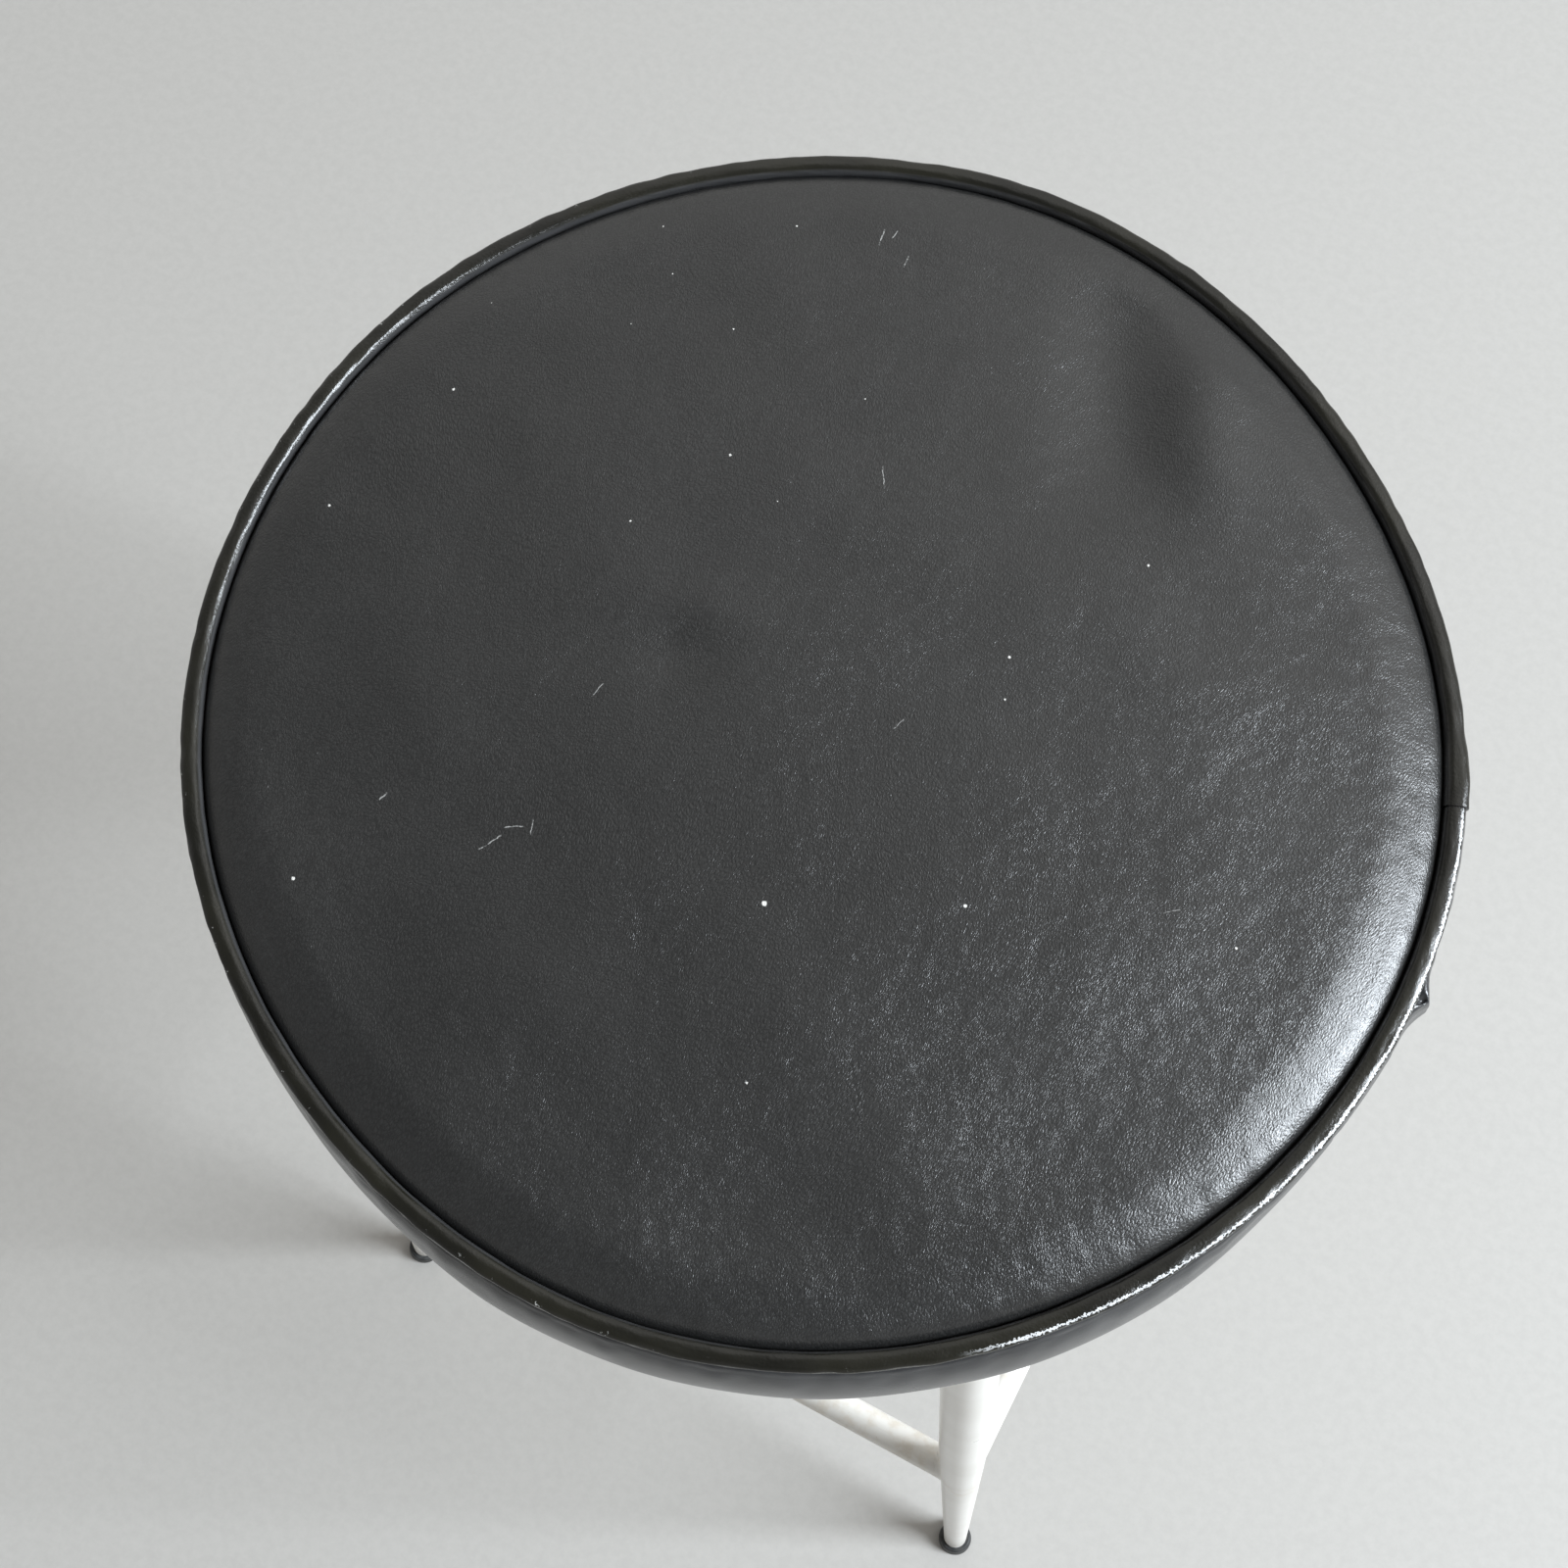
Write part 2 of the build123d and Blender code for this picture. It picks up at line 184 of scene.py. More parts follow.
class Shade(Wires):
    """Wires one procedural material."""

    def __init__(self, name, **constants):
        self.material = bpy.data.materials.new(name)
        self.material.use_nodes = True
        super().__init__(self.material.node_tree)
        self.shader = self.tree.nodes["Principled BSDF"]
        for socket, value in constants.items():
            self.shader.inputs[socket.replace("_", " ")].default_value = value
        self.place = self.node("TexCoord").outputs["Object"]

    def noise(self, scale, detail=2.0, roughness=0.5, at=None):
        inputs = {"Vector": at or self.place, "Scale": scale, "Detail": detail, "Roughness": roughness}
        return self.node("TexNoise", inputs).outputs[0]

    def cells(self, scale, feature="F1", at=None):
        inputs = {"Vector": at or self.place, "Scale": scale}
        return self.node("TexVoronoi", inputs, feature=feature).outputs["Distance"]

    def warped(self, scale, amount, at=None):
        """Coordinates pushed about by noise, by up to the amount in metres."""
        source = at or self.place
        drift = self.node("TexNoise", {"Vector": source, "Scale": scale, "Detail": 1.0}).outputs["Color"]
        centred = self.node("VectorMath", {0: drift, 1: (0.5, 0.5, 0.5)}, operation="SUBTRACT").outputs[0]
        pushed = self.node("VectorMath", {0: centred, "Scale": 2 * amount}, operation="SCALE").outputs[0]
        return self.node("VectorMath", {0: source, 1: pushed}, operation="ADD").outputs[0]

    def stretched(self, scale, at=None):
        """Coordinates scaled axis by axis."""
        return self.node("VectorMath", {0: at or self.place, 1: scale}, operation="MULTIPLY").outputs[0]

    def blend(self, parts):
        """Weighted sum of (output, weight) pairs."""
        total = 0.0
        for output, weight in parts:
            total = self.node("Math", {0: output, 1: weight, 2: total}, operation="MULTIPLY_ADD").outputs[0]
        return total

    def mix(self, share, first, second):
        return self.node("Mix", {0: share, 6: first, 7: second}, data_type="RGBA").outputs[2]

    def axes(self, at=None):
        return self.node("SeparateXYZ", {0: at or self.place}).outputs

    def bump(self, height, distance, strength=1.0, under=None):
        inputs = {"Height": height, "Distance": distance, "Strength": strength}
        if under is not None:
            inputs["Normal"] = under
        return self.node("Bump", inputs).outputs["Normal"]

    def spots(self, places):
        """1 inside the given small round marks, each (x, y, radius) seen from above, with ragged edges."""
        ragged = self.stretched((1, 1, 0), self.warped(2500, 0.25 * MM))
        mask = 0.0
        for x, y, radius in places:
            reach = self.node("VectorMath", {0: ragged, 1: (x, y, 0)}, operation="DISTANCE").outputs["Value"]
            mask = self.math("MAXIMUM", mask, self.step(reach, radius, 0.6 * radius))
        return mask

    def strokes(self, places):
        """1 along the given broken scratches, each (x, y, azimuth in degrees, length, width) from above."""
        ragged = self.warped(700, 0.35 * MM)
        mask = 0.0
        for x, y, azimuth, length, width in places:
            inputs = {"Vector": ragged, "Location": (x, y, 0), "Rotation": (0, 0, math.radians(azimuth)),
                      "Scale": (length / 2, width / 2, 1)}
            local = self.node("Mapping", inputs, vector_type="TEXTURE").outputs[0]
            along, across, _ = self.axes(local)
            near = self.step(self.math("ABSOLUTE", across), 1.0, 0.3)
            ends = self.step(self.math("ABSOLUTE", along), 1.0, 0.7)
            mask = self.math("MAXIMUM", mask, self.math("MULTIPLY", near, ends))
        return self.math("MULTIPLY", mask, self.step(self.noise(1400, 2), 0.38, 0.52))

    def finish(self, colour, roughness, normal=None):
        self.feed(self.shader.inputs["Base Color"], colour)
        self.feed(self.shader.inputs["Roughness"], roughness)
        if normal is not None:
            self.feed(self.shader.inputs["Normal"], normal)
        return self.material


def studio_world():
    """A bright room beyond the seat with a soft glow high up, dimmer overhead and on the camera's side."""
    world = bpy.data.worlds.new("studio")
    world.use_nodes = True
    w = Wires(world.node_tree)
    way = w.node("TexCoord").outputs["Generated"]
    height = w.node("SeparateXYZ", {0: way}).outputs["Z"]
    behind = w.node("VectorMath", {0: way, 1: (0.34, 0.94, 0.0)}, operation="DOT_PRODUCT").outputs["Value"]
    overhead = w.step(behind, -0.15, 0.55, 0.18, 1.04)
    around = w.step(behind, -0.95, 0.25, 0.36, 0.78)
    share = w.step(height, 0.35, 0.85)
    strength = w.math("ADD", around, w.math("MULTIPLY", share, w.math("SUBTRACT", overhead, around)))
    glow = w.node("VectorMath", {0: way, 1: direction(65, 51)}, operation="DOT_PRODUCT").outputs["Value"]
    strength = w.math("ADD", strength, w.step(glow, 0.962, 0.997, 0.0, 0.9))
    backdrop = w.tree.nodes["Background"]
    w.feed(backdrop.inputs["Strength"], strength)
    w.feed(backdrop.inputs["Color"], rgb(1.0, 0.99, 0.965))
    scene.world = world


studio_world()


def grain(s, size, at):
    """Height of a leather-like grain: long pebbles between fine creases, broken by smaller wrinkles."""
    drawn = s.stretched((1.45, 0.75, 1.0), at)
    pebbles = s.step(s.cells(1 / size, "DISTANCE_TO_EDGE", drawn), 0.0, 0.32)
    wrinkles = s.noise(1.5 / size, 3, 0.6, drawn)
    return s.blend([(pebbles, 0.35), (wrinkles, 1.2)])


# x, y and radius in mm
PANEL_SPECKS = [
    (11.8, -50.8, 0.75), (55.2, -28.8, 0.5), (-93.9, -98.2, 0.55), (-137.5, -8.9, 0.4),
    (-125.4, 34.2, 0.4), (-51.8, 50.2, 0.4), (36.5, 33.4, 0.45), (40.4, 22.9, 0.3),
    (56.7, 72.1, 0.4), (117.6, -7.7, 0.4), (28.5, -91.2, 0.35), (-28.2, 80.4, 0.25), (-68.3, 82.8, 0.28),
    (-90.6, 90.3, 0.22), (-100.0, 102.1, 0.2), (-68.0, 118.0, 0.25), (-93.2, 72.1, 0.22), (-129.6, 61.1, 0.2),
    (-65.7, 22.2, 0.28), (-34.8, 44.2, 0.22),
]
# x and y in mm, azimuth in degrees, length and width in mm
PANEL_SCRATCHES = [
    (-46.2, 125.1, 100, 5.5, 0.5), (-43.5, 127.5, 85, 3.0, 0.4), (-37.1, 121.5, 95, 4.0, 0.45),
    (-55.2, -68.2, 60, 7.0, 0.4), (-52.0, -62.0, 30, 5.0, 0.35), (-48.0, -60.0, 110, 4.0, 0.3),
    (-84.9, -70.1, 70, 3.0, 0.5), (-50.9, -21.6, 80, 5.0, 0.3), (99.8, -6.9, 40, 5.0, 0.3),
    (-14.0, 63.0, 120, 6.0, 0.3), (20.0, 5.0, 75, 4.0, 0.25),
]


def panel_vinyl():
    s = Shade("vinyl_panel", Specular_IOR_Level=0.65)
    at = s.warped(160, 1.2 * MM, s.warped(14, 11 * MM))
    relief = grain(s, 0.95 * MM, at)
    soft = s.noise(55, 4, 0.55)
    wear = s.step(s.noise(16, 4, 0.6), 0.42, 0.72)
    dust = s.math("MULTIPLY", wear, s.step(s.noise(420, 3, 0.7), 0.42, 0.68))
    tone = s.blend([(relief, 0.9), (soft, 0.25)])
    colour = s.mix(s.step(tone, 0.35, 1.35), rgb(0.0085, 0.0085, 0.0085), rgb(0.0205, 0.0205, 0.0200))
    colour = s.mix(s.math("MULTIPLY", dust, 0.08), colour, rgb(0.075, 0.076, 0.074))
    # lighter where the panel rolls down into the crease: painted fill light in the shaded crease, with some
    # dust
    deep = s.step(s.axes()[2], CROWN - 10 * MM, CROWN - 13 * MM)
    colour = s.mix(deep, colour, rgb(0.045, 0.045, 0.046))
    marks = s.strokes([(x * MM, y * MM, turn, size * MM, width * MM)
                       for x, y, turn, size, width in PANEL_SCRATCHES])
    colour = s.mix(s.math("MULTIPLY", marks, 0.8), colour, rgb(0.34, 0.34, 0.33))
    specks = s.spots([(x * MM, y * MM, radius * MM) for x, y, radius in PANEL_SPECKS])
    colour = s.mix(specks, colour, rgb(0.62, 0.61, 0.58))
    roughness = s.blend([(s.noise(30, 3), 0.05), (wear, 0.03), (0.255, 1.0)])
    undulation = s.bump(s.noise(45, 2), 0.25 * MM, 0.4)
    return s.finish(colour, roughness, s.bump(relief, 0.085 * MM, 1.0, undulation))


def band_vinyl():
    s = Shade("vinyl_band", Specular_IOR_Level=0.65)
    at = s.warped(160, 1.4 * MM)
    relief = grain(s, 1.1 * MM, at)
    wear = s.step(s.noise(30, 4, 0.6), 0.45, 0.75)
    colour = s.mix(wear, rgb(0.014, 0.015, 0.017), rgb(0.030, 0.031, 0.033))
    scuff = s.step(s.noise(90, 5, 0.7), 0.66, 0.74)
    colour = s.mix(s.math("MULTIPLY", scuff, 0.25), colour, rgb(0.16, 0.16, 0.155))
    roughness = s.blend([(s.noise(40, 3), 0.12), (0.20, 1.0)])
    return s.finish(colour, roughness, s.bump(relief, 0.035 * MM, 0.8))


def welt_vinyl():
    s = Shade("vinyl_welt", Specular_IOR_Level=0.5)
    x, y, z = s.axes()
    azimuth = s.math("ARCTAN2", y, x)
    radius = s.math("SQRT", s.blend([(s.math("MULTIPLY", x, x), 1.0), (s.math("MULTIPLY", y, y), 1.0)]))
    away = s.math("SUBTRACT", radius, WELT_RING)
    for turns, size, phase in SEAM_WAVES:
        turn = s.math("SUBTRACT", s.math("MULTIPLY", azimuth, turns), math.radians(phase))
        away = s.math("SUBTRACT", away, s.math("MULTIPLY", s.math("COSINE", turn), size * MM))
    crackle = s.noise(1500, 3, 0.65)
    chipped = s.math("MULTIPLY", s.step(away, 0.9 * MM, 1.9 * MM), s.step(s.noise(420, 4, 0.75), 0.64, 0.69))
    chipped = s.math("MULTIPLY", chipped, s.step(s.blend([(x, 1.0), (y, 0.8)]), 20 * MM, -60 * MM))
    ragged = s.math("ADD", away, s.math("MULTIPLY", s.math("SUBTRACT", crackle, 0.5), 2.6 * MM))
    # painted highlight: a pale ragged line along the welt's outer ridge, only on the side that faces the
    # window lamp
    painted_crest_highlight = s.step(s.math("ABSOLUTE", s.math("SUBTRACT", ragged, 1.75 * MM)), 0.34 * MM, 0.16 * MM)
    painted_crest_highlight = s.math("MULTIPLY", painted_crest_highlight, s.step(z, WELT_HEIGHT + 0.6 * MM, WELT_HEIGHT + 1.0 * MM))
    near_window = s.math("ABSOLUTE", s.math("SUBTRACT", azimuth, math.radians(-15)))
    painted_crest_highlight = s.math("MULTIPLY", painted_crest_highlight, s.step(near_window, math.radians(36), math.radians(31)))
    cloudy = s.step(s.noise(35, 3), 0.35, 0.7)
    colour = s.mix(cloudy, rgb(0.0050, 0.0048, 0.0034), rgb(0.0110, 0.0104, 0.0068))
    colour = s.mix(s.math("MULTIPLY", chipped, 0.8), colour, rgb(0.48, 0.48, 0.46))
    # mixes in the painted crest highlight
    colour = s.mix(s.math("MULTIPLY", painted_crest_highlight, 0.85), colour, rgb(0.66, 0.67, 0.68))
    # lighter on the welt's inner side, down in the crease: painted fill light in the shade there, with some
    # dust
    colour = s.mix(s.step(away, -1.7 * MM, -2.3 * MM), colour, rgb(0.040, 0.040, 0.041))
    # painted shadow: a thin near-black line where the welt's ends lap
    lap = s.math("ABSOLUTE", s.math("SUBTRACT", azimuth, LAP_AZIMUTH))
    painted_lap_shadow = s.step(lap, 0.32 * MM / WELT_RING, 0.12 * MM / WELT_RING)
    colour = s.mix(painted_lap_shadow, colour, rgb(0.001, 0.001, 0.001))
    roughness = s.blend([(s.noise(120, 3), 0.10), (0.15, 1.0)])
    creases = s.bump(s.noise(300, 3, 0.6), 0.10 * MM, 0.5)
    return s.finish(colour, roughness, s.bump(crackle, 0.11 * MM, 0.9, creases))


def enamel():
    s = Shade("white_enamel", Specular_IOR_Level=0.5, Coat_Weight=0.25, Coat_Roughness=0.12)
    z = s.axes()[2]
    grime = s.math("MULTIPLY", s.step(z, 60 * MM, 8 * MM), s.step(s.noise(220, 4, 0.7), 0.40, 0.66))
    # painted shade: warm beige darkening of the enamel within a few cm of the footrest's height, where the
    # bars meet the legs
    joint = s.math("ABSOLUTE", s.math("SUBTRACT", z, BAR_HEIGHT))
    painted_joint_shade = s.math("MULTIPLY", s.step(joint, 20 * MM, 4 * MM), s.step(s.noise(150, 4, 0.6), 0.42, 0.70))
    colour = s.mix(s.step(s.noise(25, 3), 0.3, 0.7), rgb(0.72, 0.70, 0.655), rgb(0.78, 0.765, 0.725))
    colour = s.mix(s.math("MULTIPLY", painted_joint_shade, 0.5), colour, rgb(0.58, 0.50, 0.39))
    colour = s.mix(s.math("MULTIPLY", grime, 0.5), colour, rgb(0.40, 0.37, 0.32))
    chips = s.step(s.noise(520, 3, 0.8), 0.745, 0.765)
    colour = s.mix(chips, colour, rgb(0.20, 0.17, 0.14))
    roughness = s.blend([(s.noise(90, 3), 0.14), (grime, 0.2), (0.24, 1.0)])
    return s.finish(colour, roughness, s.bump(s.noise(420, 3, 0.5), 0.05 * MM, 0.6))


def rubber():
    s = Shade("foot_rubber", Specular_IOR_Level=0.4)
    z = s.axes()[2]
    dust = s.math("MULTIPLY", s.step(s.noise(350, 4, 0.7), 0.40, 0.68), s.step(z, 12 * MM, 1 * MM, 0.35, 1.0))
    colour = s.mix(s.math("MULTIPLY", dust, 0.5), rgb(0.017, 0.018, 0.019), rgb(0.12, 0.12, 0.11))
    roughness = s.blend([(s.noise(500, 3), 0.2), (0.48, 1.0)])
    return s.finish(colour, roughness, s.bump(s.noise(1500, 3, 0.6), 0.06 * MM, 0.7))


def zinc():
    s = Shade("zinc_plate", Metallic=1.0)
    stain = s.step(s.noise(180, 4, 0.65), 0.45, 0.72)
    colour = s.mix(stain, rgb(0.58, 0.58, 0.56), rgb(0.36, 0.35, 0.31))
    roughness = s.blend([(s.noise(600, 3), 0.22), (stain, 0.12), (0.24, 1.0)])
    return s.finish(colour, roughness, s.bump(s.noise(1800, 2), 0.03 * MM, 0.6))


def plywood():
    s = Shade("birch_plywood", Specular_IOR_Level=0.35)
    z = s.axes()[2]
    layers = s.math("SINE", s.math("MULTIPLY", z, 2 * math.pi / (2.6 * MM)))
    fibre = s.noise(60, 5, 0.65, s.stretched((1.0, 14.0, 14.0)))
    colour = s.mix(s.step(fibre, 0.3, 0.7), rgb(0.62, 0.46, 0.29), rgb(0.46, 0.32, 0.18))
    colour = s.mix(s.step(layers, 0.0, 0.6, 0.0, 0.35), colour, rgb(0.30, 0.20, 0.12))
    return s.finish(colour, s.blend([(fibre, 0.2), (0.55, 1.0)]), s.bump(fibre, 0.15 * MM, 0.8))


def foam():
    s = Shade("open_cell_foam", Specular_IOR_Level=0.2)
    pores = s.cells(900, "F1", s.warped(400, 0.6 * MM))
    colour = s.mix(s.step(pores, 0.1, 0.6), rgb(0.42, 0.36, 0.20), rgb(0.76, 0.70, 0.46))
    return s.finish(colour, s.blend([(pores, 0.1), (0.85, 1.0)]), s.bump(pores, 0.5 * MM, 0.9))


def paper_cord():
    s = Shade("twisted_cord", Specular_IOR_Level=0.25)
    x, y, z = s.axes()
    twist = s.math("SINE", s.blend([(s.math("ARCTAN2", y, x), 420.0), (z, 3500.0)]))
    colour = s.mix(s.step(twist, -1.0, 1.0), rgb(0.50, 0.46, 0.38), rgb(0.74, 0.70, 0.61))
    return s.finish(colour, s.blend([(s.noise(800, 2), 0.2), (0.7, 1.0)]), s.bump(twist, 0.2 * MM, 0.8))


def non_woven():
    s = Shade("non_woven_cloth", Specular_IOR_Level=0.25, Sheen_Weight=0.25, Sheen_Roughness=0.5)
    fibres = s.noise(1500, 4, 0.75, s.warped(300, 2.5 * MM))
    grid = s.cells(420, "F1", s.stretched((1.0, 1.0, 0.0)))
    colour = s.mix(s.step(fibres, 0.35, 0.7), rgb(0.010, 0.010, 0.011), rgb(0.045, 0.045, 0.046))
    roughness = s.blend([(fibres, 0.15), (0.75, 1.0)])
    relief = s.blend([(fibres, 0.6), (s.step(grid, 0.1, 0.35), 0.6)])
    return s.finish(colour, roughness, s.bump(relief, 0.12 * MM, 0.9))


def sewing_thread():
    s = Shade("sewing_thread", Specular_IOR_Level=0.4)
    ply = s.noise(1500, 3, 0.6)
    colour = s.mix(s.step(s.noise(60, 4, 0.7), 0.38, 0.62), rgb(0.10, 0.10, 0.10), rgb(0.62, 0.62, 0.60))
    return s.finish(colour, s.blend([(ply, 0.2), (0.4, 1.0)]), s.bump(ply, 0.1 * MM, 0.8))


VINYL_PANEL, VINYL_BAND, VINYL_WELT = panel_vinyl(), band_vinyl(), welt_vinyl()
ENAMEL, RUBBER, ZINC, PLYWOOD = enamel(), rubber(), zinc(), plywood()
FOAM, CORD, NON_WOVEN, THREAD = foam(), paper_cord(), non_woven(), sewing_thread()
SLOT_LOOKS = {"white_paint": ENAMEL, "foot_rubber": RUBBER, "zinc": ZINC, "plywood": PLYWOOD, "foam": FOAM,
              "cord": CORD, "lining": NON_WOVEN, "vinyl": VINYL_PANEL}


# ---- mesh tools
def make_piece(name, points, faces, material):
    mesh = bpy.data.meshes.new(name)
    mesh.from_pydata([tuple(p) for p in points], [], faces)
    mesh.validate()
    mesh.update()
    mesh.shade_smooth()
    mesh.materials.append(material)
    piece = bpy.data.objects.new(name, mesh)
    scene.collection.objects.link(piece)
    return piece


def read_points(mesh):
    points = np.zeros(len(mesh.vertices) * 3)
    mesh.vertices.foreach_get("co", points)
    return points.reshape(-1, 3)


def write_points(mesh, points):
    mesh.vertices.foreach_set("co", np.asarray(points, np.float32).ravel())
    mesh.update()


def bake(piece, kind, **settings):
    """Adds a modifier, and keeps its result as the piece's own mesh."""
    modifier = piece.modifiers.new(kind.lower(), kind)
    for name, value in settings.items():
        setattr(modifier, name, value)
    graph = bpy.context.evaluated_depsgraph_get()
    mesh = bpy.data.meshes.new_from_object(piece.evaluated_get(graph))
    piece.modifiers.clear()
    piece.data = mesh
    mesh.shade_smooth()


def arc_chain(start, heading, ends, spacing):
    """Points along arcs that are tangent to each other, start with a heading and pass the given ends."""
    points = [np.array(start, float)]
    for end in ends:
        begin = points[-1]
        chord = np.array(end, float) - begin
        length = np.hypot(*chord)
        turn = 2 * (math.atan2(chord[1], chord[0]) - heading)
        turn = (turn + 2 * math.pi) % (4 * math.pi) - 2 * math.pi
        count = max(3, round(length / spacing))
        for share in np.linspace(0, 1, count + 1)[1:]:
            if abs(turn) < 1e-4:
                points.append(begin + chord * share)
            else:
                radius = length / (2 * math.sin(turn / 2))
                now = heading + turn * share
                points.append(begin + radius * np.array([math.sin(now) - math.sin(heading),
                                                         math.cos(heading) - math.cos(now)]))
        heading += turn
    return np.array(points)


def offset_line(line, distance):
    """The line moved to its left by a distance."""
    along = np.gradient(line, axis=0)
    along /= np.linalg.norm(along, axis=1, keepdims=True)
    return line + distance * np.stack([-along[:, 1], along[:, 0]], axis=1)


def smooth(value, low, high):
    """Smooth step from 0 at low to 1 at high."""
    share = np.clip((value - low) / (high - low), 0, 1)
    return share * share * (3 - 2 * share)


def bell(value, centre, width):
    return np.exp(-0.5 * ((value - centre) / width) ** 2)


def ripple(points, scale, seed):
    """Smooth noise between about -1 and 1 at each point."""
    shift = Vector((seed * 7.3, seed * 3.1, seed * 5.7))
    return np.array([noise.noise(Vector(p) * scale + shift) for p in points]) * 2


def turned(line, azimuths):
    """Rows of points: the half section (radius, height) turned to each azimuth."""
    cos, sin = np.cos(azimuths), np.sin(azimuths)
    return np.stack([np.outer(line[:, 0], cos), np.outer(line[:, 0], sin),
                     np.repeat(line[:, 1:2], len(azimuths), axis=1)], axis=2)


def ring_faces(rows, columns, first=0, closed_rows=False):
    """Quads between rows of points that close round the axis."""
    faces = []
    for row in range(rows if closed_rows else rows - 1):
        below, above = first + row * columns, first + (row + 1) % rows * columns
        for column in range(columns):
            after = (column + 1) % columns
            faces.append((below + column, below + after, above + after, above + column))
    return faces


def disc_points(rings):
    """Ring number and azimuth of the points of a square grid wrapped onto a disc, and the grid's faces.
    The outermost ring's points come last, in order of azimuth."""
    span = range(-rings, rings + 1)
    cells = {}
    where = []
    for y in span:
        for x in span:
            ring = max(abs(x), abs(y))
            if ring == rings:
                continue
            azimuth = ring_azimuth(x, y)
            cells[x, y] = len(where)
            where.append((ring, azimuth))
    edge = sorted(((ring_azimuth(x, y) % (2 * math.pi), x, y) for y in span for x in span
                   if max(abs(x), abs(y)) == rings))
    for azimuth, x, y in edge:
        cells[x, y] = len(where)
        where.append((rings, azimuth))
    faces = [(cells[x, y], cells[x + 1, y], cells[x + 1, y + 1], cells[x, y + 1])
             for y in span[:-1] for x in span[:-1]]
    return np.array(where), faces


def ring_azimuth(x, y):
    if x == 0 and y == 0:
        return 0.0
    if abs(x) >= abs(y):
        return math.pi / 4 * y / x + (math.pi if x < 0 else 0.0)
    return math.pi / 2 - math.pi / 4 * x / y + (math.pi if y < 0 else 0.0)


# ---- how the cover departs from the plain CAD skins
def wander(azimuth):
    """How far the seam wanders outwards of its circle."""
    return sum(size * MM * np.cos(turns * azimuth - math.radians(phase)) for turns, size, phase in SEAM_WAVES)


def slim(azimuth):
    """How far the band bulges less than its circle does, at the two places where it is pulled tight."""
    turns = np.degrees(azimuth)
    return (1.9 * bell(turns, -124, 15) + 2.6 * bell(turns, -14, 9) + 1.2 * bell(turns, 5, 7)) * MM


def tighten(points):
    """Draws the side in where the band is pulled tight."""
    azimuth = np.arctan2(points[:, 1], points[:, 0])
    side = smooth(points[:, 2], *TIGHT_FROM) * smooth(points[:, 2], *TIGHT_TO)
    points[:, 0] -= slim(azimuth) * side * np.cos(azimuth)
    points[:, 1] -= slim(azimuth) * side * np.sin(azimuth)
    return points


def wave(azimuth, turns, seed):
    """A sum of sines round the seat, between about -1 and 1."""
    total = 0
    for index, turn in enumerate(turns):
        total = total + np.sin(turn * azimuth + 1.7 * seed + 2.3 * index) / len(turns)
    return total


def shift_seam(points, weight):
    """Moves points outwards with the seam's wander, by their weight."""
    azimuth = np.arctan2(points[:, 1], points[:, 0])
    out = weight * wander(azimuth)
    points[:, 0] += out * np.cos(azimuth)
    points[:, 1] += out * np.sin(azimuth)
    points[:, 2] += weight * 0.35 * MM * wave(azimuth, (3, 7, 11), 2)
    return points


def furrow(x, y, start, end, width, depth, fade):
    """A soft groove from start to end, deepest at the start and faded out at both ends."""
    a, b = np.array(start), np.array(end)
    along = (b - a) / np.linalg.norm(b - a)
    share = ((x - a[0]) * along[0] + (y - a[1]) * along[1]) / np.linalg.norm(b - a)
    across = (x - a[0]) * along[1] - (y - a[1]) * along[0]
    length = smooth(share, -fade, fade) * smooth(share, 1 + fade, 1 - 2 * fade)
    return -depth * bell(across, 0, width) * length


def dents(points):
    """Height that the sitting marks and the slack of the top panel add, faded out towards the roll."""
    x, y = points[:, 0] / MM, points[:, 1] / MM
    radius = np.hypot(x, y)
    height = furrow(x, y, (17, 142), (44, 76), 11.5, 2.4, 0.28)
    height -= furrow(x, y, (42, 138), (66, 92), 9.0, 1.5, 0.28)
    height += 0.80 * bell(x, -36, 11.0) * furrow(x, y, (-47, -7), (-25, 5), 7.0, 1.0, 0.4)
    height -= 0.60 * bell(x, -34, 11.0) * furrow(x, y, (-46, 7), (-20, 13), 6.5, 1.0, 0.4)
    slack = ripple(points, 22, 1) * 0.30 + ripple(points, 48, 2) * 0.12
    return (height + slack * smooth(radius, 20, 60)) * smooth(radius, 152, 138) * MM


# ---- cloth
CLOTH_FRAMES = 20


def inflate(piece, pinned, pressure, limit, shrink):
    """Swells a skin under pressure, with the pinned points held and each point's move capped."""
    rest = read_points(piece.data)
    group = piece.vertex_groups.new(name="held")
    for index in np.nonzero(pinned > 0)[0]:
        group.add([int(index)], float(pinned[index]), "REPLACE")
    cloth = piece.modifiers.new("cloth", "CLOTH")
    settings = cloth.settings
    settings.quality = 5
    settings.mass = 0.4
    settings.tension_stiffness = settings.compression_stiffness = 40
    settings.bending_stiffness = 2.0
    settings.use_pressure = True
    settings.uniform_pressure_force = pressure
    settings.shrink_min = shrink
    settings.vertex_group_mass = group.name
    settings.effector_weights.gravity = 0
    cloth.collision_settings.use_collision = False
    cloth.point_cache.frame_start, cloth.point_cache.frame_end = 1, CLOTH_FRAMES
    for number in range(1, CLOTH_FRAMES + 1):
        scene.frame_set(number)
    graph = bpy.context.evaluated_depsgraph_get()
    moved = read_points(piece.evaluated_get(graph).data)
    piece.modifiers.remove(cloth)
    piece.vertex_groups.clear()
    scene.frame_set(1)
    move = moved - rest
    reach = np.linalg.norm(move, axis=1, keepdims=True)
    print("cloth", piece.name, "largest move in mm", round(float(reach.max()) / MM, 2))
    write_points(piece.data, rest + move * limit / (limit + reach))


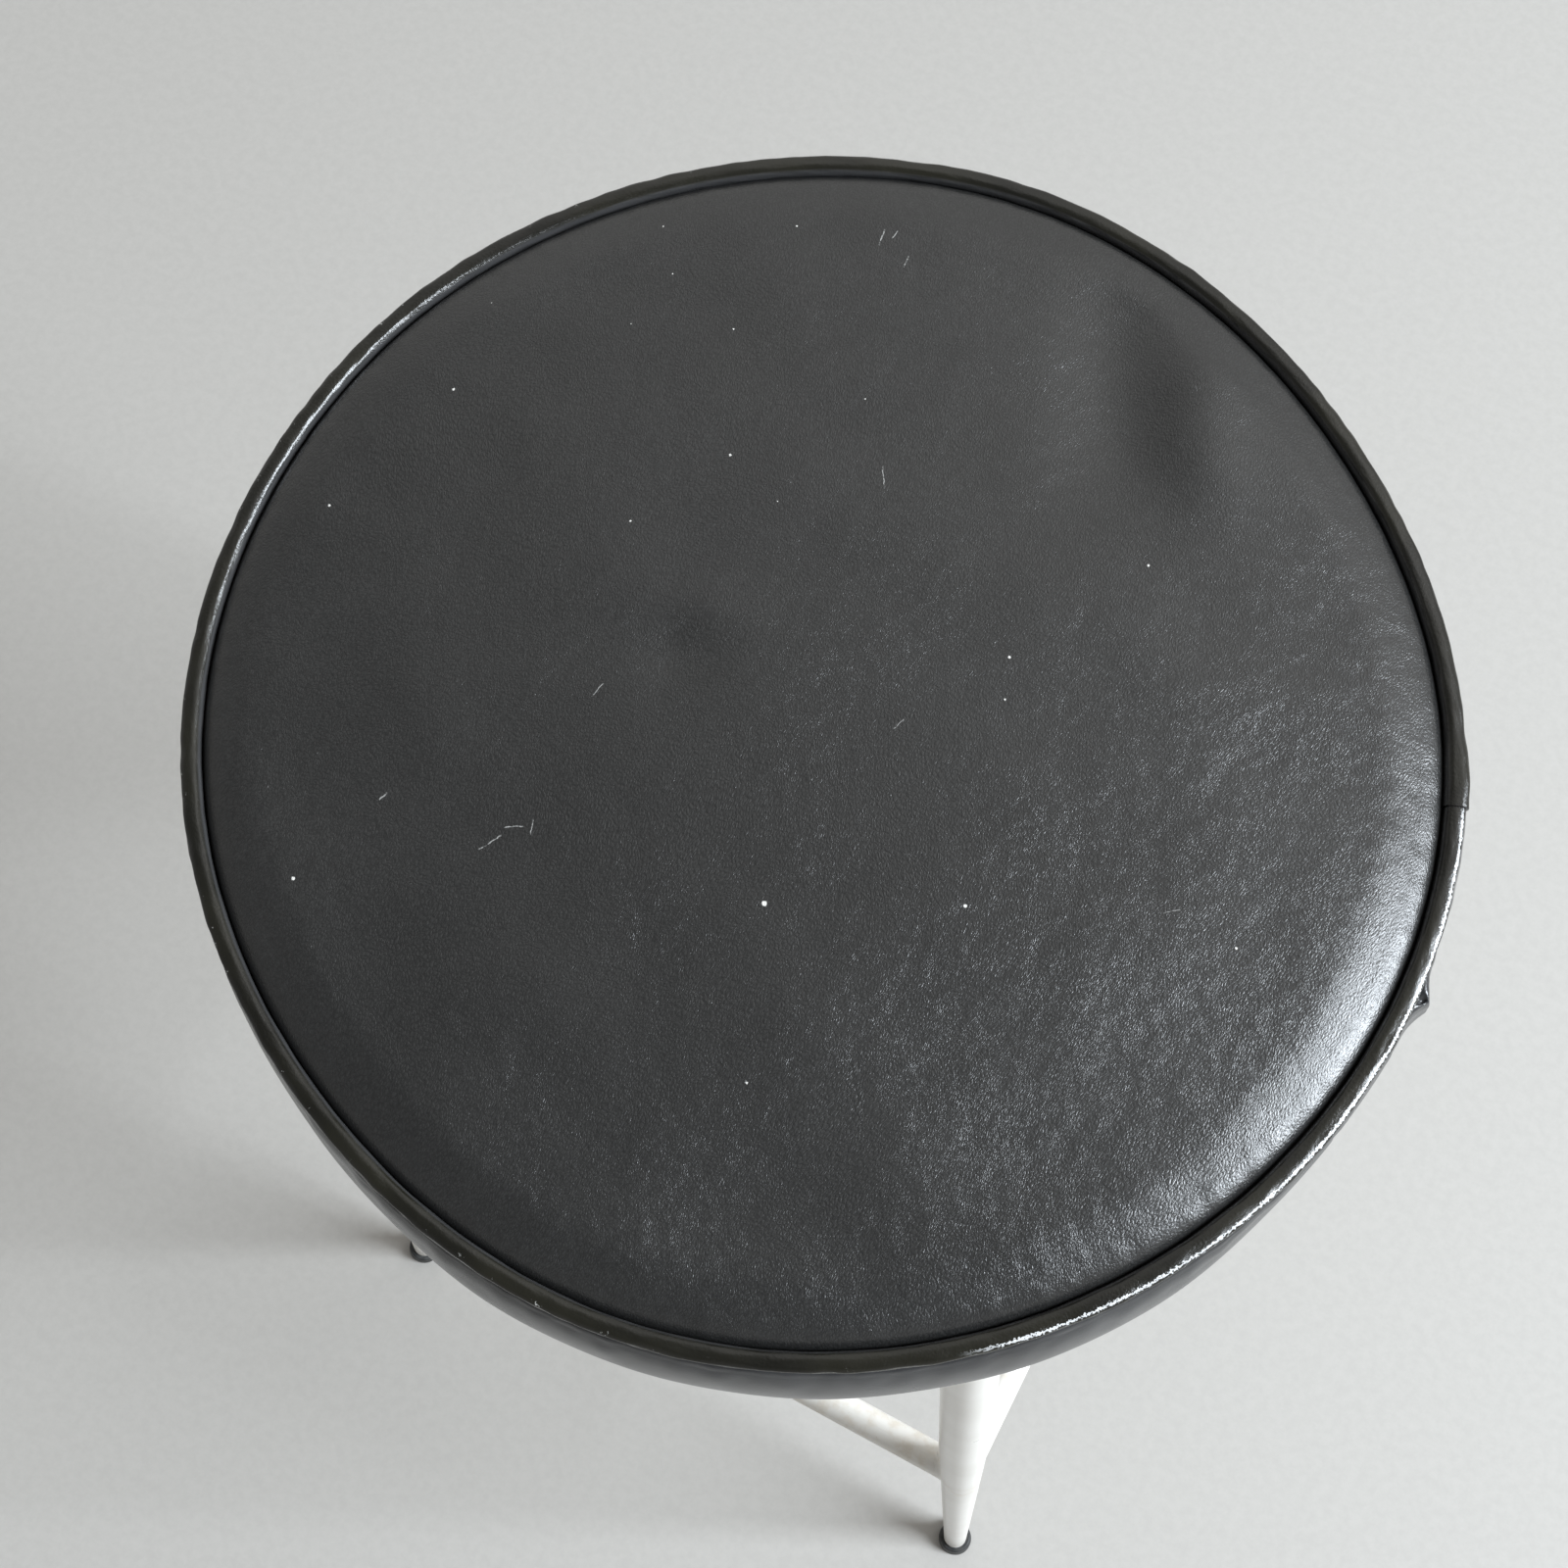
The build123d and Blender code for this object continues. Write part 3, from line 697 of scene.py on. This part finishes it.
# ---- top panel
panel_middle_line = arc_chain(
    (0, CROWN - MIDDLE), 0.0,
    [(SHOULDER[0], CROWN - MIDDLE - SHOULDER[1]),
     (CREASE - MIDDLE - ROLL_START[0], CROWN - MIDDLE - ROLL_START[1]),
     (CREASE - MIDDLE, CROWN - MIDDLE - ROLL_END_DROP),
     (CREASE - MIDDLE, SEAM_BOTTOM)], 0.5 * MM)
panel_line = offset_line(panel_middle_line, MIDDLE)
panel_travel = np.concatenate([[0], np.cumsum(np.hypot(*np.diff(panel_line, axis=0).T))])


def panel_section(travel):
    return np.stack([np.interp(travel, panel_travel, panel_line[:, 0]),
                     np.interp(travel, panel_travel, panel_line[:, 1])], axis=-1)


def build_top_panel():
    rings = 46
    shoulder_travel = np.interp(SHOULDER[0], panel_line[:, 0], panel_travel)
    roll_travel = np.interp(CREASE - 4 * MM, panel_line[:, 0], panel_travel)
    where, faces = disc_points(rings)
    section = panel_section(where[:, 0] / rings * shoulder_travel)
    inner = np.stack([section[:, 0] * np.cos(where[:, 1]), section[:, 0] * np.sin(where[:, 1]),
                      section[:, 1]], axis=1)
    columns = 8 * rings
    azimuths = where[-columns:, 1]
    travels = np.concatenate([np.linspace(shoulder_travel, roll_travel, 9)[1:],
                              np.linspace(roll_travel, roll_travel + 9 * MM, 16)[1:],
                              np.linspace(roll_travel + 9 * MM, panel_travel[-1], 6)[1:]])
    outer = turned(panel_section(travels), azimuths).reshape(-1, 3)
    points = np.concatenate([inner, outer])
    faces += [tuple(reversed(face)) for face in ring_faces(len(travels) + 1, columns, len(inner) - columns)]
    piece = make_piece("seat_panel", points, faces, VINYL_PANEL)
    radius = np.hypot(points[:, 0], points[:, 1])
    held = smooth(radius, CREASE - 9 * MM, CREASE - 3 * MM)
    held[points[:, 2] < CROWN - 7 * MM] = 1
    inflate(piece, held, 3.0, 0.8 * MM, 0.003)
    bake(piece, "SUBSURF", levels=1, render_levels=1)
    points = read_points(piece.data)
    points[:, 2] += dents(points)
    radius = np.hypot(points[:, 0], points[:, 1])
    azimuth = np.arctan2(points[:, 1], points[:, 0])
    gather = bell(radius, CREASE - 3 * MM, 2.5 * MM) * 0.10 * MM
    points[:, 2] += gather * wave(azimuth, (61, 97, 143), 5)
    write_points(piece.data, shift_seam(points, smooth(radius, 95 * MM, 150 * MM)))
    bake(piece, "SOLIDIFY", thickness=SKIN, offset=-1.0)
    return piece


panel = build_top_panel()
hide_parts("top_panel")

# ---- side band with its hem
band_middle_line = arc_chain(
    (HEM_INNER, UNDERSIDE + MIDDLE), 0.0,
    [(HEM_TURN, UNDERSIDE + MIDDLE), (LOWER_EDGE[0] - MIDDLE, LOWER_EDGE[1]),
     (WIDEST - MIDDLE, WIDEST_HEIGHT), FOLD_START, FOLD_END, (FOLD_END[0], SEAM_BOTTOM)], 0.5 * MM)
band_line = offset_line(band_middle_line, -MIDDLE)
band_travel = np.concatenate([[0], np.cumsum(np.hypot(*np.diff(band_line, axis=0).T))])


def band_azimuths():
    """Azimuths round the band, closer together at the tuck."""
    close = np.radians(np.arange(-14, 12, 0.3))
    rest = np.radians(np.arange(12, 346, 1.0))
    return np.concatenate([close, rest])


def pull_tuck(points):
    """The pleat at the band's join: it stands out under the welt and leaves a small hollow behind it."""
    azimuth = np.arctan2(points[:, 1], points[:, 0])
    radius = np.hypot(points[:, 0], points[:, 1])
    along = (azimuth - TUCK_AZIMUTH) * WELT_RING / MM
    wing = np.minimum(np.clip((along + 6.4) / 6.4, 0, 1), np.clip((9.5 - along) / 9.3, 0, 1)) ** 1.5
    high = smooth(points[:, 2], *TUCK_FROM)
    outside = smooth(radius, FOLD_END[0] + 0.8 * MM, FOLD_END[0] + 2.2 * MM)
    out = 2.9 * MM * wing * high * outside
    sink = 1.8 * MM * bell(along, -0.4, 0.8) * bell(radius, FOLD_END[0] + 2.8 * MM, 0.7 * MM) * high
    nick = 0.6 * MM * bell((azimuth - NICK_AZIMUTH) * WELT_RING / MM, 0, 1.0) * high * outside
    points[:, 0] += (out - nick) * np.cos(azimuth)
    points[:, 1] += (out - nick) * np.sin(azimuth)
    points[:, 2] -= sink
    return points


def build_side_band():
    azimuths = band_azimuths()
    hem_end = np.interp(HEM_TURN, band_line[:60, 0], band_travel[:60])
    total = band_travel[-1]
    travels = np.concatenate([np.linspace(0, hem_end, 18)[:-1],
                              np.linspace(hem_end, total - 14 * MM, 34)[:-1],
                              np.linspace(total - 14 * MM, total, 22)])
    section = np.stack([np.interp(travels, band_travel, band_line[:, 0]),
                        np.interp(travels, band_travel, band_line[:, 1])], axis=1)
    points = turned(section, azimuths).reshape(-1, 3)
    faces = ring_faces(len(travels), len(azimuths))
    piece = make_piece("side_band_cover", points, faces, VINYL_BAND)
    travel = np.repeat(travels, len(azimuths))
    held = 1 - smooth(travel, hem_end, hem_end + 7 * MM) * smooth(travel, total - 10 * MM, total - 15 * MM)
    inflate(piece, held, 4.0, 0.8 * MM, -0.006)
    bake(piece, "SUBSURF", levels=1, render_levels=1)
    points = read_points(piece.data)
    radius = np.hypot(points[:, 0], points[:, 1])
    azimuth = np.arctan2(points[:, 1], points[:, 0])
    side = smooth(points[:, 2], UNDERSIDE + 4 * MM, UNDERSIDE + 14 * MM)
    outside = smooth(radius, FOLD_END[0] + 0.6 * MM, FOLD_END[0] + 2 * MM)
    near_seam = bell(points[:, 2], PUCKER_HEIGHT, PUCKER_WIDTH) * outside
    out = near_seam * 0.28 * MM * wave(azimuth, (47, 71, 113), 3)
    out += side * smooth(points[:, 2], *BULGE_TO) * 0.35 * MM * wave(azimuth, (5, 9, 14, 23), 4)
    points[:, 0] += out * np.cos(azimuth)
    points[:, 1] += out * np.sin(azimuth)
    points = tighten(points)
    gathers = bell(radius, HEM_TURN + 5 * MM, 3 * MM) * smooth(points[:, 2], *LOWER_GATHERS_TO)
    points[:, 2] += gathers * 0.7 * MM * np.maximum(wave(azimuth, (52, 83), 6), -0.2)
    inner_gathers = bell(radius, HEM_INNER + 14 * MM, 3 * MM) * smooth(points[:, 2], *INNER_GATHERS_TO)
    points[:, 2] -= inner_gathers * 0.25 * MM * np.maximum(wave(azimuth, (44, 67), 7), 0)
    points = shift_seam(points, smooth(points[:, 2], *WANDER_FROM))
    write_points(piece.data, pull_tuck(points))
    bake(piece, "SOLIDIFY", thickness=SKIN, offset=-1.0)
    return piece


band = build_side_band()
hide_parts("side_band")

# ---- welt: a squashed tube with its flange in the seam; its ends lap at one place
def build_welt():
    azimuths = np.arange(1440) * 2 * math.pi / 1440
    step = LAP_AZIMUTH + np.array([-0.30, -0.06, 0.06, 0.30]) * MM / WELT_RING
    azimuths = np.sort(np.concatenate([azimuths[abs(azimuths - LAP_AZIMUTH) > 0.5 * MM / WELT_RING], step]))
    columns = len(azimuths)
    turns = np.radians(np.linspace(205, -78, 40))
    squareness = 2 / np.where((turns > 0) & (turns < math.pi / 2), 3.3, 2.3)
    wide, tall = WELT_TUBE, 0.94 * WELT_TUBE
    tube_x = wide * np.sign(np.cos(turns)) * abs(np.cos(turns)) ** squareness
    tube_z = tall * np.sign(np.sin(turns)) * abs(np.sin(turns)) ** squareness
    tilt = math.radians(-7)
    tube = np.stack([tube_x * math.cos(tilt) - tube_z * math.sin(tilt),
                     tube_x * math.sin(tilt) + tube_z * math.cos(tilt)], axis=1)
    flange_heights = np.linspace(SEAM_BOTTOM, WELT_HEIGHT - 3 * MM, 4) - WELT_HEIGHT
    flange_in = [(CREASE - WELT_RING + 0.05 * MM, z) for z in flange_heights]
    flange_out = [(x + 1.9 * MM, z) for x, z in reversed(flange_in)]
    section = np.array(flange_in + [tuple(p) for p in tube] + flange_out)
    is_tube = np.zeros(len(section))
    is_tube[len(flange_in):len(flange_in) + len(tube)] = 1
    rows = []
    lap = (azimuths - LAP_AZIMUTH) * WELT_RING / MM
    proud = smooth(lap, -0.06, 0.06) * smooth(lap, 24, 4)
    for (x, z), tube_share in zip(section, is_tube):
        outwardness = max(0.0, x / WELT_TUBE)
        ripple_points = [(math.cos(a) * 30, math.sin(a) * 30, (x + z) / MM * 0.9) for a in azimuths]
        fine = ripple(ripple_points, 1.0, 4) * (0.05 + 0.08 * outwardness)
        coarse = wave(azimuths, (19, 31, 53), 8) * 0.10
        grow = 1 + tube_share * ((fine + coarse) * MM / WELT_TUBE + proud * (0.10 + 0.16 * outwardness))
        radius = WELT_RING + x * grow
        height = WELT_HEIGHT + z * grow
        rows.append(np.stack([radius * np.cos(azimuths), radius * np.sin(azimuths), height], axis=1))
    points = shift_seam(np.concatenate(rows), 1.0)
    faces = ring_faces(len(section), columns, closed_rows=True)
    faces = [tuple(reversed(face)) for face in faces]
    piece = make_piece("welt_piping", points, faces, VINYL_WELT)
    piece.data.set_sharp_from_angle(angle=math.radians(35))
    return piece


piping = build_welt()
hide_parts("welt")


# ---- cord inside the welt
def build_cord():
    columns, sides = 720, 16
    azimuths = np.arange(columns) * 2 * math.pi / columns
    turns = -np.arange(sides) * 2 * math.pi / sides
    radius = WELT_TUBE - SKIN - 0.1 * MM
    section = np.stack([WELT_RING + radius * np.cos(turns), WELT_HEIGHT + radius * np.sin(turns)], axis=1)
    points = shift_seam(turned(section, azimuths).reshape(-1, 3), 1.0)
    faces = [tuple(reversed(face)) for face in ring_faces(sides, columns, closed_rows=True)]
    return make_piece("welt_cord_strand", points, faces, CORD)


cord_strand = build_cord()
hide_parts("welt_cord")


# ---- thread that shows in the groove between welt and band
def build_thread():
    stations = np.radians(np.arange(-178, -24, 0.35))
    line = bpy.data.curves.new("seam_thread", "CURVE")
    line.dimensions = "3D"
    line.bevel_depth = 0.17 * MM
    line.bevel_resolution = 3
    spline = line.splines.new("POLY")
    spline.points.add(len(stations) - 1)
    radius = WELT_RING + 2.05 * MM + 0.12 * MM * wave(stations, (43, 77), 3)
    points = np.stack([radius * np.cos(stations), radius * np.sin(stations),
                       np.full(len(stations), WELT_HEIGHT - WELT_TUBE - 0.15 * MM)], axis=1)
    points = shift_seam(points, 1.0)
    for index, point in enumerate(points):
        spline.points[index].co = (*point, 1)
    holder = bpy.data.objects.new("seam_thread_curve", line)
    scene.collection.objects.link(holder)
    graph = bpy.context.evaluated_depsgraph_get()
    mesh = bpy.data.meshes.new_from_object(holder.evaluated_get(graph))
    bpy.data.objects.remove(holder)
    mesh.materials.clear()
    mesh.materials.append(THREAD)
    mesh.shade_smooth()
    piece = bpy.data.objects.new("seam_thread", mesh)
    scene.collection.objects.link(piece)
    return piece


thread = build_thread()


# ---- foam cushion inside the cover
def build_foam():
    gap = SKIN + 1.6 * MM
    top = offset_line(panel_middle_line, -gap)
    top = top[(top[:, 0] < CREASE - 4.5 * MM)]
    side = offset_line(band_middle_line, gap)
    side = side[(side[:, 1] > UNDERSIDE + 17 * MM) & (side[:, 1] < WELT_HEIGHT - 9 * MM)]
    side = side[side[:, 0] > FOLD_END[0]]
    board_top = UNDERSIDE + SKIN + BOARD_THICKNESS
    inner = np.stack([np.linspace(0, side[0, 0], 40), np.full(40, board_top)], axis=1)
    line = np.concatenate([inner[1:], side[1:], top[::-1][:-1]])
    columns = 180
    azimuths = np.arange(columns) * 2 * math.pi / columns
    points = turned(line, azimuths).reshape(-1, 3)
    faces = ring_faces(len(line), columns)
    lift = dents(points) * (points[:, 2] > board_top + 20 * MM)
    points[:, 2] += lift
    radius = np.hypot(points[:, 0], points[:, 1])
    outside = radius > FOLD_END[0]
    points[outside] = tighten(points[outside])
    points = shift_seam(points, smooth(radius, 95 * MM, 150 * MM) * smooth(points[:, 2], *WANDER_FROM))
    low, high = len(points), len(points) + 1
    points = np.concatenate([points, [[0, 0, board_top], [0, 0, top[0, 1]]]])
    last = (len(line) - 1) * columns
    for column in range(columns):
        after = (column + 1) % columns
        faces.append((low, after, column))
        faces.append((high, last + column, last + after))
    return make_piece("foam_cushion", points, faces, FOAM)


cushion = build_foam()
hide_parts("foam_pad")


# ---- dust cover: cloth stapled under the seat, sagging a little between its staples
def build_dust_cover():
    rings = 50
    radius_out = cover_high.x
    where, faces = disc_points(rings)
    radius = where[:, 0] / rings * radius_out
    azimuth = where[:, 1]
    sag = 2.2 * MM * (1 - (radius / radius_out) ** 2)
    scallop = smooth(radius, 100 * MM, radius_out) * 0.5 * MM * (1 - np.cos(24 * azimuth)) / 2
    points = np.stack([radius * np.cos(azimuth), radius * np.sin(azimuth), np.zeros(len(radius))], axis=1)
    wrinkle = ripple(points, 40, 9) * 0.35 * MM * smooth(radius, radius_out, 100 * MM)
    points[:, 2] = cover_low.z - sag - scallop * 0.6 + wrinkle - 0.05 * MM
    faces = [tuple(reversed(face)) for face in faces]
    piece = make_piece("lining_cloth", points, faces, NON_WOVEN)
    bake(piece, "SUBSURF", levels=1, render_levels=1)
    bake(piece, "SOLIDIFY", thickness=0.5 * MM, offset=-1.0)
    return piece


lining = build_dust_cover()
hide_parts("dust_cover")

# ---- weld fillets
FILLET_STEPS = 7                         # points across a fillet's hollow face
FILLET_STATIONS = 64                     # sections round a joint


def leg_axis(azimuth):
    """A leg's foot on the floor, and its unit vector upwards."""
    foot = np.array([FOOT_CIRCLE * math.cos(azimuth), FOOT_CIRCLE * math.sin(azimuth), 0])
    top = np.array([LEG_TOP_CIRCLE * math.cos(azimuth), LEG_TOP_CIRCLE * math.sin(azimuth), RING_BOTTOM])
    return foot, (top - foot) / np.linalg.norm(top - foot)


def leg_gap(point, foot, way):
    """Distance of a point outside the leg's surface."""
    along = np.dot(point - foot, way)
    size = min(LEG_RADIUS, LEG_TIP + (LEG_RADIUS - LEG_TIP) * along * way[2] / TAPER_START)
    return np.linalg.norm(point - foot - along * way) - size


def onto_leg(point, foot, way):
    """The nearest point on the leg's surface."""
    along = np.dot(point - foot, way)
    out = point - foot - along * way
    return point - out / np.linalg.norm(out) * leg_gap(point, foot, way)


def fillet_rows(free_points, joint_points, leg_points):
    """Closed section of a fillet at each place round a joint: a hollow curve and the way back inside."""
    rows = []
    for free, joint, leg in zip(free_points, joint_points, leg_points):
        chord = (free + leg) / 2
        hollow = joint + 0.18 * (chord - joint)
        row = [(1 - share) ** 2 * free + 2 * share * (1 - share) * hollow + share ** 2 * leg
               for share in np.linspace(0, 1, FILLET_STEPS)]
        inside = joint + 0.35 * (joint - chord)
        row += [leg + 0.3 * (inside - leg), inside, free + 0.3 * (inside - free)]
        rows.append(row)
    return rows


def add_loop(rows, points, faces):
    """Adds a fillet that closes round its joint."""
    first, count, width = len(points), len(rows), len(rows[0])
    for row in rows:
        points.extend(row)
    for index in range(count):
        after = (index + 1) % count
        for column in range(width):
            beside = (column + 1) % width
            faces.append((first + index * width + column, first + after * width + column,
                          first + after * width + beside, first + index * width + beside))


def reach_out_of_leg(start, way_out, foot, way):
    """How far from the start, along the way out, the leg's surface lies."""
    near, far = 0.0, 40 * MM
    for _ in range(30):
        middle = (near + far) / 2
        if leg_gap(start + way_out * middle, foot, way) < 0:
            near = middle
        else:
            far = middle
    return far


def build_bar_fillets():
    points, faces = [], []
    up = np.array([0, 0, 1.0])
    for azimuth in LEG_AZIMUTHS:
        foot, way = leg_axis(azimuth)
        crossing = foot + way * (BAR_HEIGHT / way[2])
        inwards = -np.copysign(1, crossing)
        for bar_way in (inwards * (1, 0, 0), inwards * (0, 1, 0)):
            side = np.cross(bar_way, (0, 0, 1))
            free, joint, leg = [], [], []
            for index in range(FILLET_STATIONS):
                angle = index / FILLET_STATIONS * 2 * math.pi
                out = math.cos(angle) * side + math.sin(angle) * up
                size = (3.4 + 0.35 * math.sin(9 * angle + 3 * azimuth) + 0.25 * math.sin(17 * angle)) * MM
                start = crossing + out * BAR_RADIUS
                meet = start + bar_way * reach_out_of_leg(start, bar_way, foot, way)
                joint.append(meet)
                free.append(meet + bar_way * size - out * 0.08 * MM)
                leg.append(onto_leg(meet + out * size, foot, way) - 0.02 * (meet + out * size - crossing))
            add_loop(fillet_rows(free, joint, leg), points, faces)
    return make_piece("footrest_weld_fillets", points, faces, ENAMEL)


def build_ring_fillets():
    points, faces = [], []
    for azimuth in LEG_AZIMUTHS:
        foot, way = leg_axis(azimuth)
        top = foot + way * (RING_BOTTOM / way[2])
        free, joint, leg = [], [], []
        for index in range(FILLET_STATIONS):
            angle = index / FILLET_STATIONS * 2 * math.pi
            size = (3.0 + 0.3 * math.sin(11 * angle + azimuth)) * MM
            out = np.array([math.cos(angle), math.sin(angle), 0])
            meet = top + out * LEG_RADIUS
            for _ in range(6):
                meet = meet - out * leg_gap(meet, foot, way)
            joint.append(meet)
            free.append(meet + out * size + np.array([0, 0, 0.08 * MM]))
            leg.append(onto_leg(meet - way * size, foot, way) - out * 0.08 * MM)
        add_loop(fillet_rows(free, joint, leg), points, faces)
    return make_piece("ring_weld_fillets", points, faces, ENAMEL)


bar_fillets, ring_fillets = build_bar_fillets(), build_ring_fillets()
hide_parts("footrest_welds")
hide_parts("ring_welds")

# ---- CAD nodes that stay get their slot's material
for row in frame["record"]["subparts"]:
    node = nodes[row["node"]]
    node.data.materials.clear()
    node.data.materials.append(SLOT_LOOKS[row["material_slot"]])

for piece in (panel, band, piping, cord_strand, thread, cushion, lining, bar_fillets, ring_fillets):
    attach(piece, "root")


# ---- floor
def build_floor():
    half = 4.0
    corners = [(-half, -half, 0), (half, -half, 0), (half, half, 0), (-half, half, 0)]
    mesh = bpy.data.meshes.new("floor")
    mesh.from_pydata(corners, [], [(0, 1, 2, 3)])
    s = Shade("pale_floor", Specular_IOR_Level=0.3)
    tone = s.step(s.noise(180, 5, 0.7), 0.3, 0.7)
    colour = s.mix(tone, rgb(0.375, 0.362, 0.342), rgb(0.400, 0.387, 0.366))
    mesh.materials.append(s.finish(colour, 0.55))
    floor = bpy.data.objects.new("floor", mesh)
    scene.collection.objects.link(floor)


build_floor()
